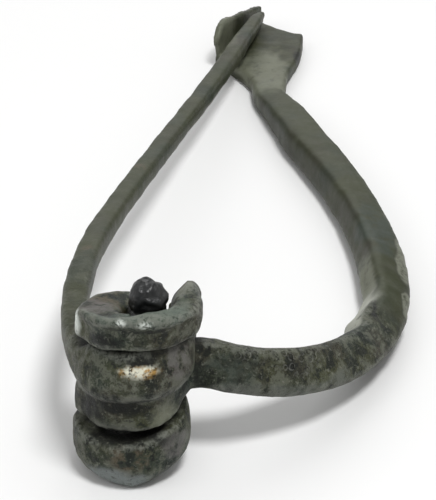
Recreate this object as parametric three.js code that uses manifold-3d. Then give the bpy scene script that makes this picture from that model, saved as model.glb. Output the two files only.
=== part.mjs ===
// A bow brooch (fibula) forged from one bar of bronze, lying on its side as it rests on a table.
// One continuous bar makes the pin, the four turns of the spring, the chord that joins the two
// halves of the spring, and the bow. At the foot the bar is hammered out into a plate whose left
// edge is folded up as the catch for the pin. A broken iron rod is left in the spring.
// Millimetres, +Z up, +Y from the spring to the foot, +X from the pin to the bow.
import * as THREE from 'three';
import { mergeVertices } from 'three/addons/utils/BufferGeometryUtils.js';
import Module from 'manifold-3d';

const wasm = await Module();
wasm.setup();

// ---- driving dimensions ----
const SPRING_CENTRE = -0.2;       // x of the spring's axis where it meets the floor
const SPRING_LEAN = 0.07;         // the axis leans towards the bow as it rises
const BORE_RADIUS = 1.5;          // of the hole through the spring, which the rod fills
const UPPER_TURNS_RADIUS = 3.05;  // to the outside of the bar
const LOWER_TURNS_RADIUS = 2.85;
const STATIONS_PER_QUARTER = 2;
const STEPS_PER_STATION = 3;
const SECTION_SIDES = 16;
const SECTION_SQUARENESS = 4.5;   // 2 is an ellipse, more is a square with soft corners

const PLATE_THICKNESS = 0.9;
const PLATE_BEVEL = 0.15;
const WALL_THICKNESS = 0.38;
const WALL_HEIGHT = { near: 2.75, middle: 1.8, far: 1.35 };
const WALL_FROM = new THREE.Vector2(4.15, 43.7);
const WALL_TO = new THREE.Vector2(6.68, 49.7);
const WALL_SPLAY = 0.12;          // the wall leans outwards by this much for each millimetre up

const ROD = { radius: 0.75, head: 0.92, foot: 0.5, neck: 8.5, shoulder: 9.2, top: 10.1, sides: 9 };
const ROD_OFF_AXIS = new THREE.Vector2(0.25, 0.2);
const ROD_LEAN = 0.09;            // a little more than the spring's
const ROD_TIP_SHIFT = -0.28;      // the snapped end leans back from the rod's own axis
const TRIM_DEPTH = 5;

// ---- the bar's route, from the pin's point round to the waist above the foot ----
// A station is the middle of the bar, its width across the brooch's plane and its height, and
// how far the section is rolled about the route, in degrees.
function station(x, y, z, wide, tall, roll = 0) {
  return { at: new THREE.Vector3(x, y, z), wide, tall, roll };
}

function pinStations() {
  return [
    station(6.95, 48.3, 1.5, 0.4, 0.35),
    station(6.55, 46.9, 1.6, 0.8, 0.75),
    station(5.3, 42.1, 1.95, 1.1, 0.95),
    station(3.66, 36.0, 2.4, 1.1, 1.0),
    station(1.58, 28.8, 3.0, 1.12, 1.05),
    station(0.15, 23.6, 3.5, 1.15, 1.1),
    station(-1.3, 18.2, 4.0, 1.2, 1.15),
    station(-2.45, 12.6, 4.65, 1.25, 1.25),
    station(-2.97, 7.5, 5.1, 1.3, 1.4),
    station(-2.85, 3.2, 5.4, 1.4, 1.65),
  ];
}

// A run of stations round the spring, anticlockwise seen from above. A level is given for each
// quarter turn: the bar's middle height, its own height, and how far it swells inwards and
// outwards from the true ring. Quarter 0 is the bow's side, quarter 1 the back.
function coil(outerRadius, firstQuarter, levels) {
  const last = levels.length - 1;
  const stations = [];
  for (let i = 0; i <= last * STATIONS_PER_QUARTER; i += 1) {
    const quarters = i / STATIONS_PER_QUARTER;
    const from = Math.min(Math.floor(quarters), last - 1);
    const part = quarters - from;
    const between = (k) => THREE.MathUtils.lerp(levels[from][k] ?? 0, levels[from + 1][k] ?? 0, part);
    const z = between(0);
    const inner = BORE_RADIUS - between(2);
    const outer = outerRadius + between(3);
    const radius = (inner + outer) / 2;
    const angle = (firstQuarter + quarters) * Math.PI / 2;
    const x = SPRING_CENTRE + SPRING_LEAN * z + radius * Math.cos(angle);
    stations.push(station(x, radius * Math.sin(angle), z, outer - inner, between(1)));
  }
  return stations;
}

function upperTurns() {
  return coil(UPPER_TURNS_RADIUS, 2, [
    [5.55, 1.95],              // left, where the pin runs in
    [5.97, 2.3],               // front
    [6.2, 2.05, 0, -0.2],      // right
    [6.9, 1.75],               // back
    [7.75, 1.65, 0.7],         // left
    [8.4, 1.65, 0.3, -0.05],   // front
    [8.15, 1.7, -0.2],         // right
  ]);
}

function chordStations() {
  return [
    station(2.6, 1.6, 7.85, 1.5, 1.75),
    station(2.62, 2.9, 7.3, 1.5, 1.65),
    station(2.45, 3.35, 6.1, 1.35, 1.5),
    station(2.3, 3.45, 4.6, 1.3, 1.5),
    station(2.1, 3.4, 3.0, 1.3, 1.5),
    station(1.6, 3.0, 1.6, 1.35, 1.55),
  ];
}

function lowerTurns() {
  return coil(LOWER_TURNS_RADIUS, 1, [
    [0.95, 1.65],              // back, from the chord
    [1.75, 1.8, 0, 0.02],      // left
    [1.25, 2.55, 0.1, 0.38],   // front, bulging down to the floor
    [2.3, 1.95, 0, 0],         // right
    [2.85, 1.75],              // back
    [3.65, 1.85],              // left
    [3.95, 1.95],              // front
  ]);
}

// The bar turns a quarter about itself from the spring to the foot, so the face that looks
// outwards on the bow is the upper face of the foot.
function bowStations() {
  return [
    station(1.35, -1.5, 4.15, 1.3, 2.0),
    station(1.95, -0.35, 4.5, 1.2, 2.15),
    station(2.4, 0.65, 4.75, 1.3, 2.3, -6),
    station(3.4, 1.15, 4.73, 1.6, 2.4, -14),
    station(5.0, 1.3, 4.25, 1.85, 2.45, -22),
    station(7.25, 2.45, 3.32, 1.9, 2.5, -28),
    station(9.4, 4.3, 2.47, 1.95, 2.45, -34),
    station(11.35, 7.15, 1.7, 2.0, 2.25, -42),
    station(12.95, 11.4, 1.19, 2.0, 2.1, -54),
    station(13.1, 15.9, 1.2, 2.1, 2.3, -62),
    station(12.6, 20.3, 1.15, 2.0, 2.25, -70),
    station(11.78, 24.2, 1.08, 1.95, 2.2, -76),
    station(10.53, 28.4, 1.04, 1.9, 2.25, -82),
    station(9.23, 32.0, 0.97, 1.8, 2.35, -86),
    station(8.3, 35.2, 0.83, 1.6, 2.15, -90),
    station(7.75, 36.8, 0.72, 1.35, 1.95, -90),
    station(7.35, 38.0, 0.62, 1.15, 1.8, -90),
    station(7.2, 39.6, 0.5, 0.95, 1.9, -90),
    station(7.25, 41.8, 0.36, 0.7, 1.9, -90),
  ];
}

// ---- the foot ----
function plateOutline() {
  const outline = new THREE.Shape();
  outline.moveTo(6.75, 38.4);
  outline.quadraticCurveTo(6.2, 41.0, WALL_FROM.x - 0.1, WALL_FROM.y);
  outline.lineTo(WALL_TO.x - 0.2, WALL_TO.y + 0.1);
  outline.quadraticCurveTo(7.3, 47.3, 9.6, 46.9);
  outline.quadraticCurveTo(9.35, 43.2, 8.4, 41.0);
  outline.lineTo(8.25, 38.4);
  outline.closePath();
  return outline;
}

function plate() {
  const depth = PLATE_THICKNESS - 2 * PLATE_BEVEL;
  const geometry = new THREE.ExtrudeGeometry(plateOutline(), {
    depth, curveSegments: 8, bevelThickness: PLATE_BEVEL, bevelSize: PLATE_BEVEL, bevelOffset: -PLATE_BEVEL,
    bevelSegments: 1,
  });
  return geometry.translate(0, 0, PLATE_BEVEL);
}

// The plate's left edge folded up: a wall that stands highest at its near end.
function catchWall() {
  const run = WALL_TO.clone().sub(WALL_FROM);
  const long = run.length();
  const side = new THREE.Shape();
  side.moveTo(0.1, 0);
  side.lineTo(long, 0);
  side.lineTo(long + 0.3, WALL_HEIGHT.far);
  side.lineTo(long * 0.75, WALL_HEIGHT.middle);
  side.lineTo(long * 0.22, WALL_HEIGHT.near * 0.98);
  side.quadraticCurveTo(0.2, WALL_HEIGHT.near * 1.04, -0.15, WALL_HEIGHT.near * 0.62);
  side.closePath();
  const geometry = new THREE.ExtrudeGeometry(side, { depth: WALL_THICKNESS, bevelEnabled: false });
  geometry.rotateX(Math.PI / 2);
  const splay = new THREE.Matrix4().makeShear(0, 0, 0, 0, 0, WALL_SPLAY);
  geometry.applyMatrix4(splay);
  geometry.rotateZ(run.angle());
  return geometry.translate(WALL_FROM.x, WALL_FROM.y, 0);
}

// ---- making closed solids ----
function toSolid(geometry) {
  geometry.deleteAttribute('normal');
  geometry.deleteAttribute('uv');
  const merged = mergeVertices(geometry, 1e-5);
  return new wasm.Manifold(new wasm.Mesh({
    numProp: 3,
    vertProperties: new Float32Array(merged.attributes.position.array),
    triVerts: new Uint32Array(merged.index.array),
  }));
}

function toGeometry(solid) {
  const mesh = solid.getMesh();
  const geometry = new THREE.BufferGeometry();
  geometry.setAttribute('position', new THREE.BufferAttribute(mesh.vertProperties, 3));
  geometry.setIndex(new THREE.BufferAttribute(mesh.triVerts, 1));
  geometry.computeVertexNormals();
  return geometry;
}

// A square with soft corners, one unit across.
function softSquare() {
  const points = [];
  for (let i = 0; i < SECTION_SIDES; i += 1) {
    const angle = (i + 0.5) / SECTION_SIDES * 2 * Math.PI;
    const soften = (value) => Math.sign(value) * Math.abs(value) ** (2 / SECTION_SQUARENESS) / 2;
    points.push(new THREE.Vector2(soften(Math.cos(angle)), soften(Math.sin(angle))));
  }
  return new THREE.Shape(points);
}

// The bar's place, directions and section at each step along a list of stations.
function framesAlong(stations) {
  const curve = new THREE.CatmullRomCurve3(stations.map((s) => s.at), false, 'centripetal');
  const spans = stations.length - 1;
  const count = spans * STEPS_PER_STATION;
  const up = new THREE.Vector3(0, 0, 1);
  const side = new THREE.Vector3(0, 0, 0);
  const frames = [];
  for (let i = 0; i <= count; i += 1) {
    const t = i / count;
    const from = Math.min(Math.floor(t * spans), spans - 1);
    const part = t * spans - from;
    const ease = part * part * (3 - 2 * part);
    const mix = (key) => stations[from][key] + (stations[from + 1][key] - stations[from][key]) * ease;
    const along = curve.getTangent(t);
    // the side leans back to level wherever the bar does not stand upright
    side.add(new THREE.Vector3().crossVectors(up, along));
    side.addScaledVector(along, -side.dot(along)).normalize();
    const roll = THREE.MathUtils.degToRad(mix('roll'));
    const rolled = side.clone().applyAxisAngle(along, roll);
    frames.push({
      at: curve.getPoint(t),
      side: rolled,
      rise: new THREE.Vector3().crossVectors(along, rolled),
      wide: mix('wide'),
      tall: mix('tall'),
    });
  }
  return frames;
}

// A straight extruded bar with one slice for each frame, bent along the frames.
function bentBar(stations) {
  const frames = framesAlong(stations);
  const count = frames.length - 1;
  const geometry = new THREE.ExtrudeGeometry(softSquare(), { depth: 1, steps: count, bevelEnabled: false });
  const position = geometry.attributes.position;
  for (let i = 0; i < position.count; i += 1) {
    const frame = frames[Math.round(position.getZ(i) * count)];
    const point = frame.at.clone();
    point.addScaledVector(frame.side, position.getX(i) * frame.wide);
    point.addScaledVector(frame.rise, position.getY(i) * frame.tall);
    position.setXYZ(i, point.x, point.y, point.z);
  }
  return geometry;
}

// A slab under the floor level, wide enough to trim every resting spot flat.
function belowFloor() {
  return new THREE.BoxGeometry(60, 120, TRIM_DEPTH).translate(0, 25, -TRIM_DEPTH / 2);
}

function brooch() {
  const stations = [
    ...pinStations(), ...upperTurns(), ...chordStations(), ...lowerTurns(), ...bowStations(),
  ];
  return toSolid(bentBar(stations))
    .add(toSolid(plate()))
    .add(toSolid(catchWall()))
    .subtract(toSolid(belowFloor()));
}

// The broken rod: its head is spread by rust and snapped to a blunt, lopsided point.
function rod() {
  const rise = ROD.top - ROD.shoulder;
  const profile = [
    [0, ROD.foot],
    [ROD.radius, ROD.foot],
    [ROD.radius, ROD.neck],
    [ROD.head, ROD.neck + 0.3],
    [ROD.head, ROD.shoulder],
    [ROD.head * 0.74, ROD.shoulder + rise * 0.55],
    [ROD.head * 0.25, ROD.top],
    [0, ROD.top],
  ].map(([x, y]) => new THREE.Vector2(x, y));
  const geometry = new THREE.LatheGeometry(profile, ROD.sides).rotateX(Math.PI / 2);
  const position = geometry.attributes.position;
  for (let i = 0; i < position.count; i += 1) {
    const z = position.getZ(i);
    const snapped = Math.max(0, (z - ROD.shoulder) / rise);
    position.setX(i, position.getX(i) + ROD_LEAN * z + ROD_TIP_SHIFT * snapped);
  }
  return geometry.translate(SPRING_CENTRE + ROD_OFF_AXIS.x, ROD_OFF_AXIS.y, 0);
}

// ---- the object ----
function piece(name, solid, colour, roughness, metalness) {
  const material = new THREE.MeshStandardMaterial({ color: colour, roughness, metalness });
  const mesh = new THREE.Mesh(toGeometry(solid), material);
  mesh.name = name;
  return mesh;
}

const object = new THREE.Group();
object.add(piece('brooch', brooch(), 0x4c4f44, 0.45, 0.5));
object.add(piece('axis_rod', toSolid(rod()), 0x37332d, 0.75, 0.2));

// The part's origin is the middle of its box, on the floor.
const box = new THREE.Box3().setFromObject(object);
const centre = box.getCenter(new THREE.Vector3());
for (const mesh of object.children) {
  mesh.position.set(-centre.x, -centre.y, -box.min.z);
}

export default object;
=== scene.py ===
import math

import bmesh
import bpy
import numpy as np
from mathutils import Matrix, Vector, noise
from mathutils.bvhtree import BVHTree


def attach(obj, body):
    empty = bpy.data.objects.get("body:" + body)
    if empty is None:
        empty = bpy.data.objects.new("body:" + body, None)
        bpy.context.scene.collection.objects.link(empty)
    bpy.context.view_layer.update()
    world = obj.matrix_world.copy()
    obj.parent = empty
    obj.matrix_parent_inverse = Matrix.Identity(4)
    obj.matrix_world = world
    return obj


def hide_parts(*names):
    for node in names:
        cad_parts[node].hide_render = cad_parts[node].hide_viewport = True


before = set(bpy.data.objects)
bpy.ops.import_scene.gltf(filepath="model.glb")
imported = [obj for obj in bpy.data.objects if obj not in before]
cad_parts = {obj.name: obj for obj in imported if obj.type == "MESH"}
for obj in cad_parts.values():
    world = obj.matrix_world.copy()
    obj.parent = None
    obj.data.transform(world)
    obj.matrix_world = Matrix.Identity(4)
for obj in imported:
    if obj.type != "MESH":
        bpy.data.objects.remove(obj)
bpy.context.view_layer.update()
millimetre = 0.001
mergeWithin = 1e-7             # metres
polishSteps = (0.6, -0.62)     # in and then out a little further, so that polishing shrinks nothing
noiseShift = (17.3, -9.1, 4.7)  # each seed's step through the noise
cellShift = (11.9, 6.3, -7.7)
spotRim = (0.55, 1.15)         # where a spot fades out, in its own radii


# one output socket of a node, so that shader maths reads as Python
class Link:
    def __init__(self, maker, socket):
        self.maker = maker
        self.socket = socket

    def maths(self, operation, first, second):
        return self.maker.node("ShaderNodeMath", {"operation": operation}, {0: first, 1: second})

    def __add__(self, other):
        return self.maths("ADD", self, other)

    def __radd__(self, other):
        return self.maths("ADD", other, self)

    def __sub__(self, other):
        return self.maths("SUBTRACT", self, other)

    def __rsub__(self, other):
        return self.maths("SUBTRACT", other, self)

    def __mul__(self, other):
        return self.maths("MULTIPLY", self, other)

    def __rmul__(self, other):
        return self.maths("MULTIPLY", other, self)

    def larger(self, other):
        return self.maths("MAXIMUM", self, other)

    def ramp(self, low, high):
        # 0 below low, 1 above high, or the other way round where low is the larger
        settings = {"interpolation_type": "SMOOTHSTEP", "clamp": True}
        return self.maker.node("ShaderNodeMapRange", settings, {0: self, 1: low, 2: high, 3: 0.0, 4: 1.0})


# a material under construction
class Finish:
    def __init__(self, name):
        self.material = bpy.data.materials.new(name)
        self.material.use_nodes = True
        self.tree = self.material.node_tree
        self.shader = self.tree.nodes["Principled BSDF"]
        place = self.tree.nodes.new("ShaderNodeTexCoord")
        self.place = Link(self, place.outputs["Object"])

    def node(self, kind, settings, sockets, output=0):
        made = self.tree.nodes.new(kind)
        for key, value in settings.items():
            setattr(made, key, value)
        for key, value in sockets.items():
            self.join(value, made.inputs[key])
        return Link(self, made.outputs[output])

    def join(self, value, socket):
        if isinstance(value, Link):
            self.tree.links.new(value.socket, socket)
        else:
            socket.default_value = value

    def noise(self, perMillimetre, detail, rough, shift=(0, 0, 0)):
        moved = self.node("ShaderNodeMapping", {}, {"Vector": self.place, "Location": shift,
                                                    "Scale": (perMillimetre / millimetre,) * 3})
        return self.node("ShaderNodeTexNoise", {}, {"Vector": moved, "Scale": 1.0, "Detail": detail,
                                                    "Roughness": rough})

    def craters(self, perMillimetre, warp, edge):
        # 0 in the middle of scattered hollows, 1 outside them
        moved = self.node("ShaderNodeVectorMath", {"operation": "SCALE"},
                          {0: self.place, "Scale": perMillimetre / millimetre})
        distance = self.node("ShaderNodeTexVoronoi", {}, {"Vector": moved, "Scale": 1.0})
        return (distance + warp).ramp(*edge)

    def mix(self, factor, first, second):
        # a Mix node set to colours takes them on its sockets 6 and 7, and gives its result on 2
        return self.node("ShaderNodeMix", {"data_type": "RGBA"}, {"Factor": factor, 6: first, 7: second}, 2)

    def stored(self, name):
        return self.node("ShaderNodeAttribute", {"attribute_name": name}, {}, "Fac")

    def bump(self, strength, distance, height, **more):
        return self.node("ShaderNodeBump", {}, {"Strength": strength, "Distance": distance,
                                                "Height": height, **more})

    def finish(self, values):
        for key, value in values.items():
            self.join(value, self.shader.inputs[key])
        return self.material


def opaque(colour):
    return (*colour, 1)


# a merged copy of a CAD node, in millimetres so that remeshing has numbers of a good size
def copyOfNode(name):
    bm = bmesh.new()
    bm.from_mesh(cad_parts[name].data)
    bmesh.ops.remove_doubles(bm, verts=bm.verts, dist=mergeWithin)
    bmesh.ops.scale(bm, vec=(1 / millimetre,) * 3, verts=bm.verts)
    return bm


def pieceFrom(bm, name):
    mesh = bpy.data.meshes.new(name)
    bm.to_mesh(mesh)
    bm.free()
    piece = bpy.data.objects.new(name, mesh)
    bpy.context.scene.collection.objects.link(piece)
    return piece


def remeshed(piece, voxel):
    modifier = piece.modifiers.new("even", "REMESH")
    modifier.mode = "VOXEL"
    modifier.voxel_size = voxel
    dense = bpy.data.meshes.new_from_object(piece.evaluated_get(bpy.context.evaluated_depsgraph_get()))
    piece.modifiers.clear()
    piece.data = dense
    bm = bmesh.new()
    bm.from_mesh(dense)
    return bm


# averages over the neighbours of each vertex, for arrays of numbers or of points
class Mesh:
    def __init__(self, bm):
        pairs = np.array([(e.verts[0].index, e.verts[1].index) for e in bm.edges])
        self.first = np.concatenate((pairs[:, 0], pairs[:, 1]))
        self.second = np.concatenate((pairs[:, 1], pairs[:, 0]))
        self.count = np.bincount(self.first)

    def mean(self, values):
        if values.ndim == 1:
            return np.bincount(self.first, values[self.second]) / self.count
        return np.stack([self.mean(column) for column in values.T], axis=1)

    def blurred(self, values, rounds):
        for _ in range(rounds):
            values = self.mean(values)
        return values

    def polished(self, places, rounds):
        for _ in range(rounds):
            for amount in polishSteps:
                places = places + (self.mean(places) - places) * amount
        return places


def points(bm):
    return np.array([v.co for v in bm.verts])


def normals(bm):
    bm.normal_update()
    return np.array([v.normal for v in bm.verts])


def moveVertices(bm, places):
    for vertex, place in zip(bm.verts, places):
        vertex.co = place


def fractal(places, perMillimetre, octaves, seed):
    # each octave is twice as fine as the last, and half as strong
    shift = Vector([seed * part for part in noiseShift])
    return np.array([noise.fractal(Vector(p) * perMillimetre + shift, 1.0, 2.0, octaves) for p in places])


def cells(places, perMillimetre, seed):
    # the distances to the nearest two of scattered points, in cells
    shift = Vector([seed * part for part in cellShift])
    return np.array([noise.voronoi(Vector(p) * perMillimetre + shift)[0][:2] for p in places]).T


def step(low, high, values):
    # 0 at low and 1 at high, whichever is the larger, and smooth between
    t = np.clip((values - low) / (high - low), 0, 1)
    return t * t * (3 - 2 * t)


def spots(at, ragged, places):
    # 1 inside any of the soft ellipsoids, each a centre and three radii, with a ragged rim
    found = np.zeros(len(at))
    for centre, radii in places:
        reach = np.linalg.norm((at - np.array(centre)) / np.array(radii), axis=1) + ragged
        found = np.maximum(found, 1 - step(*spotRim, reach))
    return found


def sheltered(bm, at, out, reach):
    # how much of the sky over each vertex the piece itself covers within a short reach, by one ray
    # straight out and five that lean
    lift = 0.05
    upright, lean = 0.6, 0.8
    turns = (0.4, 1.66, 2.91, 4.17, 5.43)
    anyWay = (0.31, 0.17, 0.93)
    tree = BVHTree.FromBMesh(bm)
    side = np.cross(out, anyWay)
    side /= np.linalg.norm(side, axis=1)[:, None]
    across = np.cross(out, side)
    rays = [out] + [out * upright + (side * math.cos(k) + across * math.sin(k)) * lean for k in turns]
    covered = np.zeros(len(at))
    for ray in rays:
        for i, (start, way) in enumerate(zip(at + out * lift, ray)):
            if tree.ray_cast(start, way, reach)[0] is not None:
                covered[i] += 1 / len(rays)
    return covered


def store(mesh, values):
    for name, numbers in values.items():
        attribute = mesh.attributes.new(name, "FLOAT", "POINT")
        attribute.data.foreach_set("value", numbers.astype(np.float32))


def settle(bm, mesh):
    bmesh.ops.scale(bm, vec=(millimetre,) * 3, verts=bm.verts)
    for face in bm.faces:
        face.smooth = True
    bm.to_mesh(mesh)
    bm.free()


def dress(piece, finish):
    piece.data.materials.clear()
    piece.data.materials.append(finish)


# the bronze bar: pin, spring, bow and foot. Lengths are in millimetres, angles are round the
# spring's axis, and a pair is where something fades, from none of it to all of it
bronze = {
    "voxel": 0.12,
    # smoothing rounds: everywhere, off the spring, and behind the bow's head; then where those are
    "coilPolish": 3,
    "headPolish": 10,
    "barPolish": 90,
    "headTo": -13.5,
    "headFade": (-1.5, 1.5),
    "headLeft": (-2.2, -2.8),
    "footFrom": 17.5,
    "footFade": (0.6, -0.6),
    "springAt": (-5.4, -23.4),
    "springRadius": 3.5,
    "offSpring": (0.0, 0.6),
    # the spring's front, by angle and by radius
    "frontRight": (-0.1, -0.5),
    "frontLeft": (-3.1, -2.7),
    "frontOuter": (4.2, 3.8),
    "frontInner": (1.5, 2.4),
    # three turns: their middle heights at the left, front and right, and half a height. A level is
    # -1 at a turn's lower edge and 1 at its upper, and reaches say how far past that a turn goes
    "turnAngles": (-3.1416, -1.5708, 0.0),
    "topTurn": ((7.75, 8.4, 8.15), 0.85),
    "nextTurn": ((5.55, 5.97, 6.2), 1.15),
    "thirdTurn": ((3.65, 3.95, 2.3), 0.95),
    "topReach": 1.15,
    "nextReach": 1.1,
    "thirdReach": 1.0,
    "thirdFade": (-1.0, -1.6),
    # the top turn's raised rim and its undercut
    "rim": 0.12,
    "rimLevel": 0.85,
    "rimWidth": 0.2,
    "rimLift": 0.6,
    "undercut": 0.26,
    "undercutFade": (0.75, 0.3),
    # how far the next turn slopes in, and rises to close the gap under the top one
    "slope": 0.42,
    "slopeFade": (-0.2, 1.0),
    "closing": 0.5,
    "closingFade": (0.0, 1.0),
    "recess": 0.25,
    "bevel": 0.2,
    "bevelFade": (1.25, 0.1),
    # the top turn rises towards its free end, and its top face is lower inside the rim
    "raised": 0.3,
    "raisedLevel": (0.1, 0.95),
    "raisedOut": (1.6, 2.5),
    "raisedRound": (0.0, -1.2),
    "inset": 0.16,
    "insetWithin": (1.8, 1.55),
    "insetAbove": (8.3, 8.5),
    "insetRound": (-0.3, -0.7),
    # the peak at that end: where the end is, the peak's middle, half its width, and its two slopes
    "endBack": (-23.0, -22.2),
    "endAbove": (6.5, 7.5),
    "endRight": (-4.2, -3.8),
    "peak": -2.55,
    "peakHalf": 0.15,
    "peakLift": 0.12,
    "peakSlopes": (1.1, 0.7),
    # pale bands of painted reflection of the floor along two turns' lower edges
    "nextBand": (-0.5, -0.62),
    "thirdBand": (-0.45, -0.6),
    # the bow's head, its lower edge's heights at four places across it, and the bevel above that
    "headFrom": (-3.0, -2.4),
    "headEnd": (6.4, 5.0),
    "headFront": (-15.0, -18.0),
    "headFacing": (-0.15, -0.4),
    "lowEdgeAcross": (-0.6, 0.9, 2.4, 4.0),
    "lowEdge": (3.8, 3.5, 2.9, 2.3),
    "bandHeight": 0.36,
    "bandSoftness": 0.08,
    "bandFoot": -0.3,
    "bandSlope": 0.14,
    # the fold at the knee: a point on it, the way across it, and how far it reaches
    "foldAt": (6.71, -13.37, 2.4),
    "foldAcross": (-0.75, 0.326, 0.576),
    "fold": [((5.9, -12.9, 2.0), (1.7, 3.6, 1.6))],
    "foldFade": (-0.04, 0.08),
    "foldFar": (1.3, 0.0),
    "foldRagged": 0.3,
    "foldDepth": 0.08,
    "swell": [((6.35, -13.0, 1.8), (1.4, 2.7, 1.4))],
    "swellFacing": (-0.15, -0.5),
    "swelling": 0.3,
    # relief. A noise has its scale per millimetre, its octaves and its seed, and the facets have
    # their scale and their seed
    "dents": 0.04,
    "dentNoise": (0.5, 3, 1),
    "grain": 0.014,
    "grainNoise": (2.6, 2, 2),
    "ragged": 0.3,
    "raggedNoise": (1.1, 3, 6),
    "hammered": 0.05,
    "facets": (0.42, 7),
    "facetEdge": (0.0, 0.45),
    "facetsOnBar": 0.7,
    # how much smoother the bar is behind the bow's head, less near the pin's root
    "smoothness": 0.85,
    "pinRoughness": 0.45,
    "pinBack": (-8.0, -20.0),
    "pinRight": (-5.0, -6.0),
    # the slanting line between pin and leg, and the leg's inner side, which gets painted shade
    "betweenSlant": 0.12,
    "legFrom": (-1.0, 0.5),
    "legEnd": (16.5, 14.5),
    "legInner": (-0.1, -0.6),
    "legInnerBack": (-7.5, -2.5),
    "pinFrom": (0.0, -1.5),
    "pinOlive": 0.7,
    # painted shade between the turns, where the piece covers its own sky
    "shelterReach": 1.6,
    "shelterFade": (1.6, 0.0),
    # blurring rounds for what is stored on the mesh
    "facingBlur": 4,
    "innerBlur": 12,
    "proudBlur": 4,
    "shelterBlur": 3,
    "bandBlur": 2,
    "bevelBlur": 1,
    # where the metal looks different, or where light and shade are painted on it: soft ellipsoids, each a
    # centre and three radii
    "spots": {
        "bare": [((-4.85, -26.3, 6.62), (1.4, 0.8, 0.3))],
        # glints and edge are painted highlights: spots on the top turn's rim, and a bright line down its
        # left side
        "glints": [((-5.77, -26.1, 9.32), (0.28, 0.36, 0.17)), ((-4.65, -26.15, 9.33), (0.5, 0.4, 0.2))],
        "edge": [((-8.22, -24.0, 8.2), (0.45, 1.1, 1.1))],
        "flake": [((8.75, -7.0, 1.8), (0.42, 3.6, 1.0)), ((8.75, -11.3, 1.7), (0.35, 1.5, 0.8))],
        "pale": [
            ((-3.8, -25.6, 3.75), (0.95, 0.9, 0.75)),
            ((1.2, 17.4, 0.9), (2.3, 3.8, 0.7)),
            ((-0.8, 20.6, 1.9), (1.0, 3.0, 1.4)),
            ((6.6, -9.4, 1.6), (0.9, 3.2, 1.1)),
            ((-3.0, -21.6, 8.8), (0.7, 1.2, 0.9)),
        ],
        # sheen: painted reflection of the floor on the lowest turn's lower bevel
        "sheen": [((-6.4, -26.2, 0.45), (2.2, 1.4, 0.9))],
        # the top turn's upper face: green patina, lightened as painted light from above
        "greenTopSheen": [((-5.0, -24.4, 9.4), (3.6, 2.4, 0.55))],
        "mauve": [
            ((-3.2, -24.9, 6.6), (0.9, 1.3, 1.0)),
            ((-3.4, -25.2, 2.0), (0.8, 1.2, 0.9)),
            ((-7.1, -23.4, 8.7), (1.1, 1.5, 0.6)),
        ],
        "teal": [((7.6, -4.0, 2.0), (1.4, 3.2, 1.4)), ((-0.9, -22.6, 4.6), (1.9, 1.2, 1.3))],
        "brown": [
            ((-6.3, -22.2, 8.3), (1.2, 1.5, 0.7)),
            ((-5.2, -26.6, 1.9), (1.6, 0.8, 0.8)),
            ((-7.9, -12.5, 5.4), (0.5, 0.8, 0.6)),
            ((-5.7, -0.8, 4.1), (0.5, 0.7, 0.6)),
        ],
        # painted shade: darkening under the turns' edges and the rim, in the gaps between turns, in the
        # knee's crease and a hollow of the foot
        "paintedShade": [
            ((-5.4, -25.5, 2.5), (2.4, 1.0, 0.5)),
            ((-4.7, -26.2, 7.25), (2.6, 0.8, 0.45)),
            ((-6.2, -25.8, 4.45), (1.9, 1.4, 0.6)),
            ((-7.4, -25.0, 3.9), (1.0, 1.2, 0.7)),
            ((-2.9, -25.2, 5.1), (0.9, 1.0, 0.14)),
            ((-5.0, -26.2, 4.98), (2.4, 1.0, 0.14)),
            ((-4.6, -26.3, 8.85), (2.6, 0.7, 0.16)),
            ((-6.0, -25.8, 2.85), (2.6, 1.5, 0.3)),
            ((-6.7, -25.6, 7.9), (1.0, 1.2, 0.5)),
            ((-2.2, -22.4, 4.3), (0.8, 1.0, 1.4)),
            ((3.9, 20.1, 0.7), (0.5, 1.0, 0.6)),
            ((6.9, -12.9, 2.5), (0.25, 2.2, 0.5)),
        ],
        "pitted": [((0.6, -21.9, 5.3), (2.4, 1.1, 0.7)), ((3.3, -20.9, 4.3), (2.2, 1.5, 1.0))],
    },
}


def faded(name, values):
    return step(*bronze[name], values)


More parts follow.
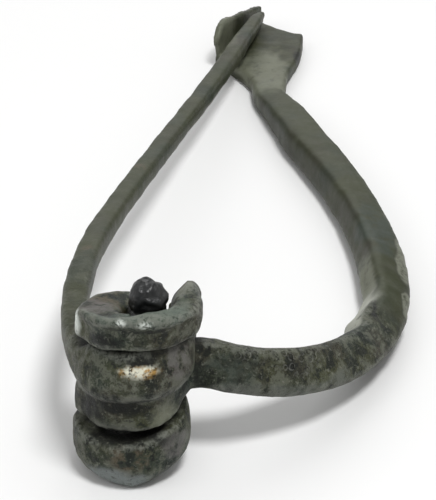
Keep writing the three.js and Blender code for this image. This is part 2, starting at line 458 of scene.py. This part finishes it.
def turnedSpring(at):
    # the top turn has a rim and is undercut, the next slopes out from under it, the third lies
    # back, and the lowest is bevelled to the floor
    x, y, z = at.T
    across = at[:, :2] - bronze["springAt"]
    radius = np.linalg.norm(across, axis=1)
    angle = np.arctan2(across[:, 1], across[:, 0])
    front = faded("frontRight", angle) * faded("frontLeft", angle)
    front = front * faded("frontOuter", radius) * faded("frontInner", radius)

    def level(turn):
        heights, half = bronze[turn]
        return (z - np.interp(angle, bronze["turnAngles"], heights)) / half

    top, middle, third = level("topTurn"), level("nextTurn"), level("thirdTurn")
    onTop = (np.abs(top) < bronze["topReach"]) * front
    onMiddle = (np.abs(middle) < bronze["nextReach"]) * front
    onThird = (np.abs(third) < bronze["thirdReach"]) * front
    rim = onTop * np.exp(-((top - bronze["rimLevel"]) / bronze["rimWidth"]) ** 2) * bronze["rim"]
    inward = onTop * faded("undercutFade", top) * bronze["undercut"] - rim
    belowMiddle = (middle < -1.0) * onThird * faded("thirdFade", angle)
    inward += onMiddle * faded("slopeFade", middle) * bronze["slope"] + belowMiddle * bronze["recess"]
    inward += faded("bevelFade", z) * front * bronze["bevel"]
    moved = at.copy()
    moved[:, :2] -= across / radius[:, None] * inward[:, None]
    moved[:, 2] += onMiddle * faded("closingFade", middle) * bronze["closing"] + rim * bronze["rimLift"]
    rising = onTop * faded("raisedLevel", top) * faded("raisedOut", radius) * faded("raisedRound", angle)
    moved[:, 2] += rising * bronze["raised"]
    rightAngle = angle * (x > bronze["springAt"][0])
    inner = faded("insetWithin", radius) * faded("insetAbove", z) * faded("insetRound", rightAngle)
    moved[:, 2] -= inner * bronze["inset"]
    end = faded("endBack", y) * faded("endAbove", z) * faded("endRight", x)
    leftSlope, rightSlope = bronze["peakSlopes"]
    left = np.maximum(bronze["peak"] - bronze["peakHalf"] - x, 0)
    right = np.maximum(x - bronze["peak"] - bronze["peakHalf"], 0)
    moved[:, 2] += end * (bronze["peakLift"] - left * leftSlope - right * rightSlope)
    reflectedBand = onMiddle * faded("nextBand", middle) + onThird * faded("thirdBand", third)
    return moved, np.clip(reflectedBand, 0, 1)


def makeBronze():
    piece = pieceFrom(copyOfNode("brooch"), "bronze_bar")
    bm = remeshed(piece, bronze["voxel"])
    mesh = Mesh(bm)
    at = mesh.polished(points(bm), bronze["coilPolish"])
    fromSpring = np.linalg.norm(at[:, :2] - bronze["springAt"], axis=1) - bronze["springRadius"]
    outside = faded("offSpring", fromSpring)
    plain = outside * faded("footFade", at[:, 1] - bronze["footFrom"])
    behindHead = np.maximum(faded("headFade", at[:, 1] - bronze["headTo"]), faded("headLeft", at[:, 0]))
    at += (mesh.polished(at, bronze["headPolish"]) - at) * plain[:, None]
    at += (mesh.polished(at, bronze["barPolish"]) - at) * (plain * behindHead)[:, None]
    at, reflectedBand = turnedSpring(at)
    moveVertices(bm, at)
    print("bronze: spring turned")

    # the bevel along the lower edge of the bow's head, and the band on it that gets painted reflection
    head = faded("headFrom", at[:, 0]) * faded("headEnd", at[:, 0]) * faded("headFront", at[:, 1]) * plain
    head *= faded("headFacing", mesh.blurred(normals(bm), bronze["facingBlur"])[:, 1])
    aboveEdge = at[:, 2] - np.interp(at[:, 0], bronze["lowEdgeAcross"], bronze["lowEdge"])
    bandTop = bronze["bandHeight"]
    bevelled = step(bandTop, bandTop - bronze["bandSoftness"], aboveEdge) * head
    at[:, 1] += step(bandTop, bronze["bandFoot"], aboveEdge) * head * bronze["bandSlope"]
    moveVertices(bm, at)

    # dents, facets and grain, and the fold and swelling at the knee
    out = normals(bm)
    ragged = fractal(at, *bronze["raggedNoise"]) * bronze["ragged"]
    fromFold = (at - np.array(bronze["foldAt"])) @ np.array(bronze["foldAcross"])
    folded = spots(at, ragged * bronze["foldRagged"], bronze["fold"]) * faded("foldFade", fromFold)
    nearest, second = cells(at, *bronze["facets"])
    facets = (faded("facetEdge", second - nearest) - 0.5) * (1 - plain * bronze["facetsOnBar"])
    nearPin = faded("pinBack", at[:, 1]) * faded("pinRight", at[:, 0])
    rugged = 1 - outside * behindHead * (bronze["smoothness"] - nearPin * bronze["pinRoughness"])
    move = fractal(at, *bronze["dentNoise"]) * bronze["dents"] - facets * bronze["hammered"]
    move += fractal(at, *bronze["grainNoise"]) * bronze["grain"] * rugged - folded * bronze["foldDepth"]
    move += spots(at, 0, bronze["swell"]) * faded("swellFacing", out[:, 0]) * bronze["swelling"]
    moveVertices(bm, at + out * move[:, None])
    print("bronze: relief made")

    # masks for the finish
    at = points(bm)
    out = normals(bm)
    proud = ((at - mesh.blurred(at, bronze["proudBlur"])) * out).sum(1)
    bar = outside * behindHead
    between = at[:, 0] + at[:, 1] * bronze["betweenSlant"]
    leg = bar * faded("legFrom", between) * faded("legEnd", at[:, 1])
    inner = faded("legInner", mesh.blurred(out, bronze["innerBlur"])[:, 0])
    pin = bar * faded("pinFrom", between)
    # for painted shade in the spring's gaps: how much of each vertex's sky is covered
    covered = mesh.blurred(sheltered(bm, at, out, bronze["shelterReach"]), bronze["shelterBlur"])
    values = {
        # how raised each vertex is, for painted highlights on ridges
        "proud": mesh.blurred(proud, bronze["proudBlur"]),
        "sheltered": covered * faded("shelterFade", fromSpring),
        # a painted highlight past the knee's fold, brightest at the crease
        "folded": folded * faded("foldFar", fromFold),
        "lowerBandReflection": mesh.blurred(reflectedBand, bronze["bandBlur"]),
        "bevelled": mesh.blurred(bevelled, bronze["bevelBlur"]),
        "rugged": rugged,
        "legInnerShade": leg * inner * faded("legInnerBack", at[:, 1]),
        "olive": leg * (1 - inner) + pin * bronze["pinOlive"],
    }
    for name, places in bronze["spots"].items():
        values[name] = spots(at, ragged, places)
    settle(bm, piece.data)
    store(piece.data, values)
    print("bronze: triangles", sum(len(p.vertices) - 2 for p in piece.data.polygons))
    return piece


# the patina over the bronze
patina = {
    # noises: per millimetre, detail, roughness, and a shift that keeps them apart
    "noises": {
        "broad": (0.28, 3.0, 0.55, (0, 0, 0)),
        "other": (0.33, 3.0, 0.55, (7.3, 1.9, 4.4)),
        "cloudy": (1.25, 5.0, 0.7, (2.2, 8.1, 0.3)),
        "blotchy": (0.6, 5.0, 0.65, (4.1, 0.6, 6.2)),
        "fine": (4.2, 6.0, 0.75, (0, 0, 0)),
    },
    "stored": ("proud", "rugged", "pitted", "legInnerShade", "olive", "teal", "brown", "lowerBandReflection", "bevelled",
               "pale", "sheen", "greenTopSheen", "mauve", "paintedShade", "folded", "flake", "sheltered"),
    "ground": (0.026, 0.036, 0.027),
    # coats over the ground, lowest first: strength, colour, and the masks that limit it. Each mask
    # has the two values between which it fades in, or None where it is taken as it is
    "coats": [
        (1.0, (0.048, 0.051, 0.023), {"broad": (0.38, 0.6)}),
        (1.0, (0.045, 0.042, 0.027), {"other": (0.48, 0.66)}),
        (0.55, (0.080, 0.088, 0.052), {"blotchy": (0.5, 0.7)}),
        (0.6, (0.015, 0.020, 0.013), {"blotchy": (0.5, 0.3)}),
        (0.4, (0.020, 0.023, 0.012), {"smooth": None}),
        (0.7, (0.125, 0.132, 0.100), {"cloudy": (0.5, 0.57), "rugged": None}),
        (0.85, (0.008, 0.011, 0.008), {"cloudy": (0.47, 0.4), "rugged": None}),
        (0.75, (0.006, 0.007, 0.006), {"fine": (0.46, 0.38), "rugged": None}),
        (0.6, (0.20, 0.205, 0.165), {"fine": (0.56, 0.64), "rugged": None}),
        # painted shade on the inner side of the leg, towards the foot
        (0.42, (0.022, 0.026, 0.012), {"legInnerShade": None}),
        # the leg's olive tone, kept off its inner side that has the painted shade, and the pin's
        (0.5, (0.034, 0.041, 0.014), {"olive": None}),
        (0.6, (0.030, 0.045, 0.038), {"teal": None, "cloudy": (0.36, 0.52)}),
        (0.7, (0.084, 0.062, 0.037), {"brown": None, "cloudy": (0.44, 0.56)}),
        # painted reflection of the floor along the turns' lower edges
        (0.7, (0.145, 0.15, 0.13), {"lowerBandReflection": None, "cloudy": (0.34, 0.5)}),
        # painted reflection of the floor on the bow head's lower bevel
        (0.55, (0.115, 0.125, 0.110), {"bevelled": None, "cloudy": (0.36, 0.55)}),
        (0.62, (0.20, 0.21, 0.155), {"pale": None, "cloudy": (0.2, 0.5)}),
        # painted reflection of the floor on the lowest turn's lower bevel
        (0.85, (0.21, 0.235, 0.23), {"sheen": None, "fine": (0.3, 0.48)}),
        # green patina on the top turn's upper face, lightened as painted light from above
        (0.75, (0.13, 0.165, 0.135), {"greenTopSheen": None, "fine": (0.3, 0.5)}),
        (0.6, (0.135, 0.125, 0.125), {"mauve": None, "cloudy": (0.4, 0.54)}),
        # painted shade under edges and between the turns, nearly black
        (0.92, (0.007, 0.008, 0.007), {"paintedShade": None, "fine": (0.75, 0.5)}),
        # painted highlight on the face past the knee's fold
        (0.85, (0.42, 0.43, 0.37), {"folded": None, "cloudy": (0.25, 0.45)}),
        (0.6, (0.030, 0.032, 0.020), {"flake": (0.03, 0.35)}),
        (0.7, (0.22, 0.23, 0.18), {"flake": (0.25, 0.95), "fine": (0.32, 0.56)}),
        # painted glints on the lips of the pits
        (0.42, (0.42, 0.43, 0.39), {"pitted": None, "craterLipGlint": None, "fine": (0.42, 0.54)}),
        (0.3, (0.010, 0.011, 0.010), {"pitted": None, "crater": (0.4, 0.1)}),
        # painted highlights on ridges and raised spots
        (0.65, (0.20, 0.21, 0.18), {"proud": (0.014, 0.026), "fine": (0.4, 0.56), "rugged": None}),
        # painted shade where the piece covers its own sky
        (0.9, (0.006, 0.006, 0.005), {"sheltered": (0.1, 0.65)}),
    ],
    "cratersPerMillimetre": 2.3,
    "craterWarp": 0.3,
    "craterEdge": (0.36, 0.66),
    "lipIn": (0.2, 0.6),
    "lipOut": (1.0, 0.8),
    "craterStrength": 1.0,
    "craterDepth": 0.0003,     # metres, as is grainDepth
    "grainStrength": 0.9,
    "grainDepth": 0.00012,
    # bare metal, and the painted highlights on it: glints and a bright edge
    "gold": (0.50, 0.30, 0.09),
    # the near-white of a painted highlight on the bare metal
    "bareHighlight": (0.85, 0.84, 0.70),
    "bareHighlightFade": (0.42, 0.52),
    "bareFade": (0.36, 0.5),
    "glint": (0.72, 0.76, 0.71),
    "glintFade": (0.42, 0.54),
    "edgeHighlightFade": (0.3, 0.45),
    "roughness": 0.32,
    "roughGrain": 0.3,
    "glintPolish": 0.2,
    "sheenPolish": 0.14,
    "metallic": 0.12,
    "bareMetallic": 0.5,
    "specular": 0.22,
}


def bronzeFinish():
    f = Finish("patinated_bronze")
    masks = {name: f.noise(*values) for name, values in patina["noises"].items()}
    masks.update({name: f.stored(name) for name in patina["stored"]})
    fine, cloudy = masks["fine"], masks["cloudy"]
    crater = f.craters(patina["cratersPerMillimetre"], cloudy * patina["craterWarp"], patina["craterEdge"])
    masks["crater"] = crater
    # the lips of the pits, for painted glints
    masks["craterLipGlint"] = crater.ramp(*patina["lipIn"]) * crater.ramp(*patina["lipOut"])
    masks["smooth"] = 1 - masks["rugged"]

    body = opaque(patina["ground"])
    for strength, colour, limits in patina["coats"]:
        amount = None
        for name, fade in limits.items():
            mask = masks[name].ramp(*fade) if fade else masks[name]
            amount = amount * mask if amount else mask
        body = f.mix(amount * strength, body, opaque(colour))

    # the worn bare patch: gold metal that turns near-white in places, a painted highlight over real wear
    gold = f.mix(cloudy.ramp(*patina["bareHighlightFade"]), opaque(patina["gold"]), opaque(patina["bareHighlight"]))
    bare = f.stored("bare") * fine.ramp(*patina["bareFade"])
    # painted highlights: the rim's glints and the bright edge down the top turn's left side
    glint = f.stored("glints") * fine.ramp(*patina["glintFade"])
    glint = glint.larger(f.stored("edge") * cloudy.ramp(*patina["edgeHighlightFade"]))
    body = f.mix(glint, f.mix(bare, body, gold), opaque(patina["glint"]))
    rough = patina["roughness"] + fine * patina["roughGrain"] - glint * patina["glintPolish"]
    rough = rough - masks["sheen"] * patina["sheenPolish"]
    metal = patina["metallic"] + bare * patina["bareMetallic"] + glint * patina["bareMetallic"]
    hollows = f.bump(patina["craterStrength"], patina["craterDepth"], crater * masks["pitted"])
    relief = f.bump(patina["grainStrength"], patina["grainDepth"], fine * masks["rugged"], Normal=hollows)
    return f.finish({"Base Color": body, "Roughness": rough, "Metallic": metal, "Normal": relief,
                     "Specular IOR Level": patina["specular"]})


bar = makeBronze()
dress(bar, bronzeFinish())
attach(bar, "root")
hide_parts("brooch")
print("bronze: finished")


# the iron rod, in millimetres
iron = {
    "voxel": 0.07,
    "polish": 1,
    "rust": 0.04,
    "rustNoise": (1.3, 4, 5),
    "chipped": 0.1,
    "chips": (0.8, 5),         # per millimetre, and a seed
    "chipEdge": (0.0, 0.4),
    # it is swollen below the snapped top
    "swollen": 0.1,
    "shoulder": 9.3,
    "shoulderFade": (-0.3, 0.7),
    "shoulderLoss": 1.1,
    "crust": 0.25,
    "crustFrom": 6.8,
    "crustRise": (-0.5, 0.2),
    "crustTo": 8.5,
    "crustFall": (0.2, -0.3),
    # the finish: noises per millimetre, with detail and roughness, and the two greys they mix
    "widePatches": (0.8, 4.0, 0.6),
    "finePatches": (5.0, 4.0, 0.6),
    "patchFade": (0.4, 0.65),
    "black": (0.010, 0.011, 0.012),
    "grey": (0.035, 0.036, 0.036),
    "bumpStrength": 0.6,
    "bumpDepth": 0.00008,      # metres
    "roughness": 0.24,
    "roughGrain": 0.2,
    "metallic": 0.2,
}


def makeIron():
    piece = pieceFrom(copyOfNode("axis_rod"), "iron_rod")
    bm = remeshed(piece, iron["voxel"])
    at = Mesh(bm).polished(points(bm), iron["polish"])
    z = at[:, 2]
    nearest, second = cells(at, *iron["chips"])
    crusted = step(*iron["crustRise"], z - iron["crustFrom"]) * step(*iron["crustFall"], z - iron["crustTo"])
    chips = step(*iron["chipEdge"], second - nearest)
    top = step(*iron["shoulderFade"], z - iron["shoulder"])
    move = fractal(at, *iron["rustNoise"]) * iron["rust"] - chips * iron["chipped"]
    move += crusted * iron["crust"] + (1 - top * iron["shoulderLoss"]) * iron["swollen"]
    moveVertices(bm, at)
    moveVertices(bm, at + normals(bm) * move[:, None])
    settle(bm, piece.data)
    return piece


def ironFinish():
    f = Finish("rusted_iron")
    wide = f.noise(*iron["widePatches"])
    fine = f.noise(*iron["finePatches"])
    body = f.mix(wide.ramp(*iron["patchFade"]), opaque(iron["black"]), opaque(iron["grey"]))
    relief = f.bump(iron["bumpStrength"], iron["bumpDepth"], fine)
    return f.finish({"Base Color": body, "Roughness": iron["roughness"] + fine * iron["roughGrain"],
                     "Metallic": iron["metallic"], "Normal": relief})


rod = makeIron()
dress(rod, ironFinish())
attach(rod, "root")
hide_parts("axis_rod")
print("iron: rod made and finished")


# floor, light and camera, in metres
studio = {
    "floorSize": 3.0,
    "floorShade": 0.86,
    "floorRoughness": 0.6,
    "domeColour": (1.0, 1.0, 0.99),
    "dome": 0.43,
    # each lamp: where it is, what it points at, its size and its watts
    "lamps": {
        "softbox": ((0.075, -0.12, 0.37), (0.0, -0.01, 0.0), 0.11, 0.97),
        "left_window": ((-0.4, -0.15, 0.3), (0.0, -0.01, 0.004), 0.3, 0.28),
        "back_panel": ((0.0, 0.5, 0.32), (0.0, 0.0, 0.0), 0.5, 0.9),
    },
    "cameraAt": (-0.0012, -0.14762, 0.08225),
    "cameraTilt": 60.424,      # degrees from straight down
    "lens": 216,
    "clipStart": 0.005,
}


def makeFloor():
    bm = bmesh.new()
    bmesh.ops.create_grid(bm, x_segments=1, y_segments=1, size=studio["floorSize"])
    floor = pieceFrom(bm, "floor")
    shade = opaque((studio["floorShade"],) * 3)
    finish = Finish("paper").finish({"Base Color": shade, "Roughness": studio["floorRoughness"]})
    dress(floor, finish)


def makeLamp(name, at, target, size, watts):
    light = bpy.data.lights.new(name, "AREA")
    light.shape = "DISK"
    light.size = size
    light.energy = watts
    lamp = bpy.data.objects.new(name, light)
    lamp.location = at
    lamp.rotation_euler = (Vector(target) - Vector(at)).to_track_quat("-Z", "Y").to_euler()
    bpy.context.scene.collection.objects.link(lamp)


def makeDome():
    world = bpy.data.worlds.new("dome")
    world.use_nodes = True
    background = world.node_tree.nodes["Background"]
    background.inputs["Color"].default_value = opaque(studio["domeColour"])
    background.inputs["Strength"].default_value = studio["dome"]
    bpy.context.scene.world = world


def makeCamera():
    camera = bpy.data.cameras.new("camera")
    camera.lens = studio["lens"]
    camera.clip_start = studio["clipStart"]
    eye = bpy.data.objects.new("camera", camera)
    eye.location = studio["cameraAt"]
    eye.rotation_euler = (math.radians(studio["cameraTilt"]), 0, 0)
    bpy.context.scene.collection.objects.link(eye)
    bpy.context.scene.camera = eye


makeFloor()
makeDome()
for name, lamp in studio["lamps"].items():
    makeLamp(name, *lamp)
makeCamera()
bpy.context.scene.view_settings.view_transform = "Standard"
print("studio: made")
